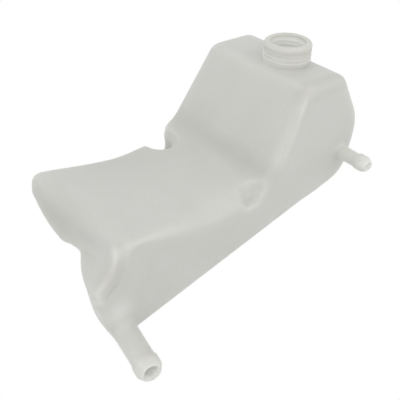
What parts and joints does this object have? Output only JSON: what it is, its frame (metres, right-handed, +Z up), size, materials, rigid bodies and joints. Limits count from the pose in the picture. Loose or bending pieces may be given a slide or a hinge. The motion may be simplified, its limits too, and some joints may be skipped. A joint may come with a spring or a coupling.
{
  "type": "coolant expansion tank",
  "caption": "Blow-moulded coolant tank with a threaded filler neck on a raised tower, a low shelf, a slanting keel and hose stubs on its flat side.",
  "frame": {"origin": "centre of the filler neck's rim", "axes": "+Z up along the filler neck's axis, +X from the outlet end to the back of the filler tower, -Y out of the flat side with the hose stubs"},
  "size_m": [0.2661, 0.1831, 0.1777],
  "materials": {
    "shell": "satin, milky and slightly translucent"
  },
  "bodies": {
    "root": {"tank": "shell"}
  },
  "joints": []
}
